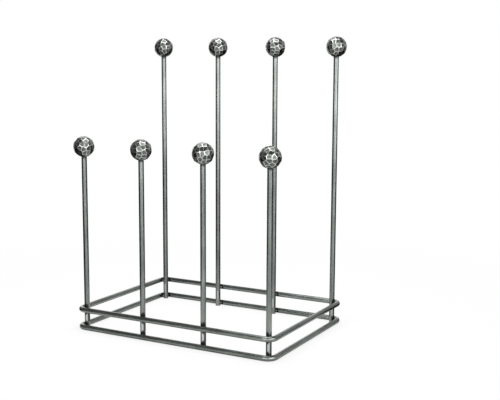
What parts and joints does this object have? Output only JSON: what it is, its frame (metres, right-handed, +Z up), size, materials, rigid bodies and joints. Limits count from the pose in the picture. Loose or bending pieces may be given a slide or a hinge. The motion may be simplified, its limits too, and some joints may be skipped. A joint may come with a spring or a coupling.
{
  "type": "boot rack",
  "caption": "Free-standing boot rack of round steel bar: stacked rectangular rings carry a short front row and a tall back row of posts, each topped by a hammered ball.",
  "frame": {"origin": "middle of the footprint, on the floor", "axes": "+Z up, +X along the rows of posts, +Y from the short front row to the tall back row"},
  "size_m": [0.4255, 0.3086, 0.5495],
  "materials": {
    "bar": "hot-rolled round bar, wire brushed and clear lacquered over a pewter-grey patina",
    "ball": "hammered all over, dark in the flats and burnished along the ridges, clear lacquered",
    "weld": "as-laid tack weld, wire brushed and lacquered"
  },
  "bodies": {
    "root": {"lower_ring": "bar", "upper_ring": "bar", "short_post_1": "bar", "short_post_2": "bar", "short_post_3": "bar", "short_post_4": "bar", "tall_post_1": "bar", "tall_post_2": "bar", "tall_post_3": "bar", "tall_post_4": "bar", "short_post_ball_1": "ball", "short_post_ball_2": "ball", "short_post_ball_3": "ball", "short_post_ball_4": "ball", "tall_post_ball_1": "ball", "tall_post_ball_2": "ball", "tall_post_ball_3": "ball", "tall_post_ball_4": "ball", "short_post_welds_lower_ring": "weld", "short_post_welds_upper_ring": "weld", "tall_post_welds_lower_ring": "weld", "tall_post_welds_upper_ring": "weld"}
  },
  "joints": []
}
